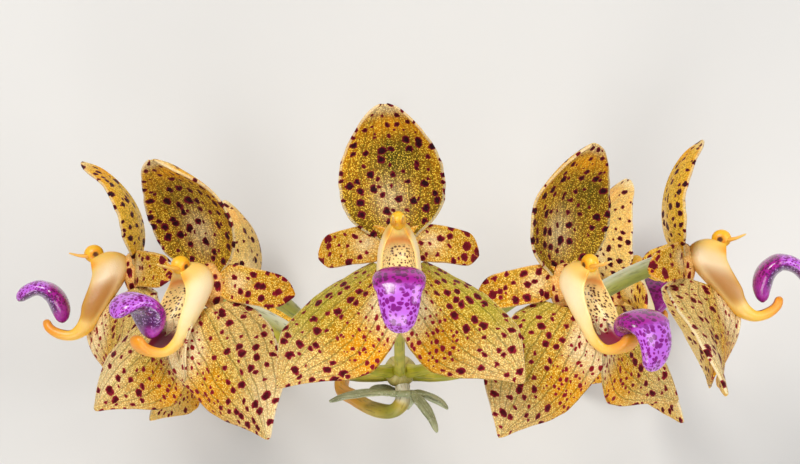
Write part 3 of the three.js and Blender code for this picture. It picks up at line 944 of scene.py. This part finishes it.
def column_masks(t, v):
    """Cream sides, a dotted trough, an orange patch at its top, crimson at its foot and an orange hook."""
    from_trough = np.abs(corners_off(v))
    inside = step(1.5 - from_trough, 0, 0.3)
    rim = bump(from_trough, 1.5, 0.4)
    hook = step(t, 0.72, 0.92)
    back = 0.75 * step(from_trough, 2.9, 4.2) * step(t, 0.05, 0.2)
    outside = 0.7 * step(t, 0.5, 0.72) * (1 - inside)
    shoulder = 0.7 * bump(t, 0.08, 0.04) * bump(from_trough, 1.6, 0.5)
    side = np.maximum(bump(from_trough, 1.55, 0.3), 0.7 * step(3.8 - from_trough, 0, 1))
    return {
        "yellow": np.clip(outside + back + 0.6 * step(0.2 - t, 0, 0.15) + 0.4 * rim, 0, 1),
        "orange": np.clip(0.7 * bump(t, 0.18, 0.05) * inside + shoulder + 0.75 * hook, 0, 1),
        # A painted highlight, pinkish white, high on the side walls.
        "pale": 0.7 * step(from_trough, 1.4, 1.9) * bump(t, 0.3, 0.16),
        "brown": side * step(from_trough, 1.1, 1.5) * step(t, 0.1, 0.42) * step(0.68 - t, 0, 0.14),
        "dotted": inside * step(t, 0.22, 0.26) * step(0.6 - t, 0, 0.05),
        "crimson": step(1.45 - from_trough, 0, 0.25) * step(t, 0.52, 0.6) * step(0.86 - t, 0, 0.05),
    }


def anther():
    """The yellow cap on the column, with a brown hollow in each side."""
    radius = ANTHER["radius"]

    def from_eye(places):
        on_one_side = np.abs(places / radius * (1, 0, 0)) + places / radius * (0, 1, 1)
        return np.linalg.norm(on_one_side - ANTHER["eye"], axis=1)

    def masks_at(places):
        away = from_eye(places)
        front = step(places[:, 2], -0.15, 0.2) * bump(places[:, 1], -0.3, 0.15)
        return {
            "yellow": 1.0,
            "orange": 0.1 + 0.7 * bump(away, 0.46, 0.14) + 0.4 * front,
            "eye": step(0.38 - away, 0, 0.12),
        }

    cap = ball("anther", radius, ANTHER_SIDES, COLUMN, masks_at)
    dents = ANTHER["dent"] * step(0.42 - from_eye(points_of(cap)), 0, 0.3)
    for vertex, dent in zip(cap.data.vertices, dents):
        vertex.co *= 1 - dent
    return moved(cap, Matrix.Translation(ANTHER["at"]) @ Matrix.Diagonal((0.8, 0.95, 1.05, 1)))


def column_teeth():
    line = smooth(COLUMN_TOOTH["line"], np.linspace(0, 1, 13))
    tooth = tube(
        "tooth", line, TOOTH_SIDES, lambda t: COLUMN_TOOTH["radius"] * (0.9 - 0.65 * t), COLUMN,
        lambda t, v: {"yellow": 0.9 - 0.5 * t, "orange": 0.7 * (1 - t)},
    )
    return [tooth, moved(copied(tooth, "tooth"), MIRROR)]


def column_piece():
    body = grid("column", COLUMN_STEPS, COLUMN_STEPS, column_points, column_surface, column_masks)
    body.data.materials.append(COLUMN)
    return joined("column", [closed(body), anther(), *column_teeth()])


def lip_piece(bloom):
    """The lip: a thick strap that curls up, over and forwards, paler where it hangs."""
    t = np.linspace(0, 1, LIP_ROWS + 1)
    line = through(LIP_LINE, t * bloom["reach"])
    ahead = unit(np.gradient(line, axis=0))
    outward = np.stack([np.zeros_like(t), ahead[:, 2], -ahead[:, 1]], axis=1)
    shape = rounded(t, 0.06, 0.07) * (1 - 0.07 * step(t, 0.48, 0.54))
    wide_at = smooth(LIP_HALF_WIDTHS, t) * shape
    thick_at = smooth(LIP_HALF_THICKNESS, t) * shape

    def point_at(t, v):
        row = np.rint(t * LIP_ROWS).astype(int)
        angle = (v + 1) * pi
        up, aside = np.sin(angle), np.cos(angle)
        channel = 0.1 * bump(aside, 0, 0.25) * step(up, 0, 0.5) * step(t, 0.6, 0.7)
        out = thick_at[row] * (np.sign(up) * np.abs(up) ** 0.9 - channel)
        side = wide_at[row] * np.sign(aside) * np.abs(aside) ** 0.9
        return line[row] + outward[row] * out[:, None] + np.stack([side, 0 * side, 0 * side], axis=1)

    def surface_at(t, v):
        return np.stack([v * LIP_HALF_GIRTH, t * LIP_LENGTH], axis=1)

    def masks_at(t, v):
        upper = step(np.sin((v + 1) * pi), -0.4, -0.1)
        root = step(0.2 - t, 0, 0.12)
        foot = upper * step(0.3 - t, 0, 0.2)
        return {
            "pale": upper * step(t, 0.47, 0.53) + 0.5 * root * (1 - upper) + 0.2 * foot,
            "dark": 0.95 * (1 - upper) * (1 - root),
            "band": upper * step(0.52 - t, 0, 0.04) - 0.7 * foot,
        }

    piece = grid("lip", LIP_SIDES, LIP_ROWS, point_at, surface_at, masks_at)
    piece.data.materials.append(LIP)
    closed(piece)
    return moved(piece, Matrix.Translation(LIP_BASE) @ turn(bloom["hang"], "X"))


# ---------------------------------------------------------------- stalks and bracts
def place_of(bloom):
    facing = turn(bloom["turn"], "Y") @ turn(bloom["nod"], "X") @ turn(bloom["roll"], "Z")
    return Matrix.Translation(bloom["at"]) @ facing @ Matrix.Scale(bloom["size"], 4)


def pedicel(name, bloom):
    """A bloom's own stalk, from inside the knob to inside the bloom, thicker where it is the ovary."""
    place = place_of(bloom)
    end = place @ Vector((0, 0, OVARY_END))
    arriving = (place.to_3x3() @ Vector((0, 0.25, 0.97))).normalized()
    leaving = Vector((end.x - HEAD.x, 0, end.z - HEAD.z)).normalized()
    leaving.y = PEDICEL_RISE["front"] * max(0, leaving.z) + PEDICEL_RISE["all"]
    leaving.normalize()
    start = HEAD + leaving * PEDICEL_START
    pulls = [start, start + leaving * PEDICEL_PULLS[0], end - arriving * PEDICEL_PULLS[1], end]
    line = bezier(pulls, np.linspace(0, 1, PEDICEL_STEPS + 1))
    inside = np.array([HEAD + leaving * (HEAD_RADIUS * PEDICEL_ROOT)])
    socket = np.array([end + arriving * PEDICEL_SOCKET])
    line = np.concatenate([inside, line, socket])

    def radius_at(t):
        swell = step(t, 0.5, 0.75)
        return PEDICEL_RADIUS + (OVARY_RADIUS - PEDICEL_RADIUS) * swell + 0.12 * step(0.05 - t, 0, 0.05)

    def masks_at(t, v):
        return {
            # A pale stripe along one side of the ovary, meant as its lit top: a painted highlight.
            "pale": 0.7 * step(t, 0.45, 0.65) * bump(v, 0.0, 0.4),
            "orange": 0.3 * step(t, 0.9, 1.0),
            "green": 0.6 * step(t, 0.5, 0.75),
        }

    return tube(name, line, PEDICEL_SIDES, radius_at, FLOWER_STALK, masks_at, ribs=0.04)


def stalk():
    """The main stalk with the knob at its top."""
    line = through(STALK_LINE, np.linspace(0.005, 1, STALK_STEPS + 1))

    def masks_at(t, v):
        return {
            "pale": 0.85 * step(0.2 - t, 0, 0.06),
            "orange": 0.7 * step(t, 0.36, 0.5) * step(0.9 - t, 0, 0.3),
            "green": 0.6 * bump(t, 0.28, 0.06),
        }

    def radius_at(t):
        return STALK_RADIUS * (1 + 0.03 * np.sin(40 * t))

    body = tube("main_stalk", line, STALK_SIDES, radius_at, MAIN_STALK, masks_at, ribs=0.02)
    knob = ball("knob", HEAD_RADIUS, KNOB_SIDES, MAIN_STALK, lambda places: {"pale": 0.1, "green": 0.3})
    for vertex in knob.data.vertices:
        vertex.co *= 1 + 0.04 * sin(7 * vertex.co.x) * sin(7 * vertex.co.z + 1)
    return joined("main_stalk", [body, moved(knob, Matrix.Translation(HEAD))])


def bracts():
    """Small leaves round the neck of the stalk, on a thin collar."""
    half = (COLLAR["outer"] - COLLAR["inner"]) / 2
    collar = primitive(
        bpy.ops.mesh.primitive_torus_add, "collar",
        major_segments=40, minor_segments=14, major_radius=COLLAR["inner"] + half, minor_radius=half,
    )
    collar.data.uv_layers.active.name = "Shape"
    collar.data.uv_layers.new(name="Surface")
    collar.data.materials.append(BRACT_PAPER)
    flat = Matrix.Diagonal((1, COLLAR["height"] / (2 * half), 1, 1)) @ turn(90, "X")
    pieces = [moved(collar, flat)]
    for number, (bearing, droop, length) in enumerate(BRACTS):
        leaf = blade("leaf", BRACT, BRACT_PAPER, lambda t, v: {}, ripple=0.04, seed=number)
        stretch = Matrix.Diagonal((1, 1, length / BRACT["spine"][3][2], 1))
        outwards = turn(bearing, "Y") @ Matrix.Translation((0, 0, BRACTS_START))
        pieces.append(moved(leaf, outwards @ turn(droop, "X") @ stretch))
    return moved(joined("bracts", pieces), Matrix.Translation(COLLAR["at"]))


def column_copy(model, name, browned):
    """A column with its own share of brown."""
    piece = copied(model, name)
    layer = piece.data.attributes["brown"]
    brown = np.empty(len(piece.data.vertices))
    layer.data.foreach_get("value", brown)
    layer.data.foreach_set("value", np.maximum(brown, LEAST_BROWN) * browned)
    return piece


# ---------------------------------------------------------------- the flower head
column_model = column_piece()
for number, bloom in enumerate(BLOOMS, start=1):
    label = f"bloom_{number}"
    place = place_of(bloom)
    finish(tepals(f"{label}_tepals", bloom, number), [f"{label}_sepals_and_petals"], place)
    column = column_copy(column_model, f"{label}_column_and_foot", bloom["browned"])
    finish(column, [f"{label}_column"], place)
    lip = lip_piece(bloom)
    lip.name = f"{label}_curled_lip"
    finish(lip, [f"{label}_lip"], place)
    finish(pedicel(f"{label}_flower_stalk", bloom), [f"{label}_stalk"])
bpy.data.objects.remove(column_model)
stem = stalk()
stem.name = "stalk_and_knob"
finish(stem, ["main_stalk"])
leaves = bracts()
leaves.name = "bract_leaves"
finish(leaves, ["bracts"])


# ---------------------------------------------------------------- camera, light and floor
EYE = Vector((0, 0, 330))
PICTURE_WIDTH = 800
FOCAL_PIXELS = 4455
SENSOR = 36
NEAREST = 0.01
LIT_PLACE = Vector((0, 0, 0.03))
FLOOR_SIZE = 3
SKY = dict(colour=(0.9, 0.93, 1, 1), strength=0.3)


def add_camera():
    camera = bpy.data.cameras.new("camera")
    camera.sensor_width = SENSOR
    camera.lens = FOCAL_PIXELS * SENSOR / PICTURE_WIDTH
    camera.clip_start = NEAREST
    holder = bpy.data.objects.new("camera", camera)
    holder.location = (EYE - ORIGIN) * MM
    bpy.context.scene.collection.objects.link(holder)
    bpy.context.scene.camera = holder


def add_light(name, place, size, watts, tone):
    """A square lamp at a place in millimetres that shines at the flower head."""
    lamp = bpy.data.lights.new(name, "AREA")
    lamp.size = size * MM
    lamp.energy = watts
    lamp.color = tone
    holder = bpy.data.objects.new(name, lamp)
    spot = Vector(place) * MM
    holder.location = spot
    holder.rotation_euler = (LIT_PLACE - spot).to_track_quat("-Z", "Y").to_euler()
    bpy.context.scene.collection.objects.link(holder)


def add_floor():
    floor = primitive(bpy.ops.mesh.primitive_plane_add, "floor", size=FLOOR_SIZE)
    floor.data.materials.append(floor_material())


def add_sky():
    world = bpy.data.worlds.new("studio")
    bpy.context.scene.world = world
    world.use_nodes = True
    sky = world.node_tree.nodes["Background"].inputs
    sky["Color"].default_value = SKY["colour"]
    sky["Strength"].default_value = SKY["strength"]


add_camera()
add_floor()
add_light("key", (-160, 260, 420), size=200, watts=1.9, tone=(1, 0.98, 0.95))
add_light("fill", (300, 40, 300), size=260, watts=0.85, tone=(0.97, 0.98, 1))
add_light("low", (-60, -330, 240), size=240, watts=0.85, tone=(1, 0.99, 0.97))
add_sky()
bpy.context.scene.view_settings.view_transform = "Standard"
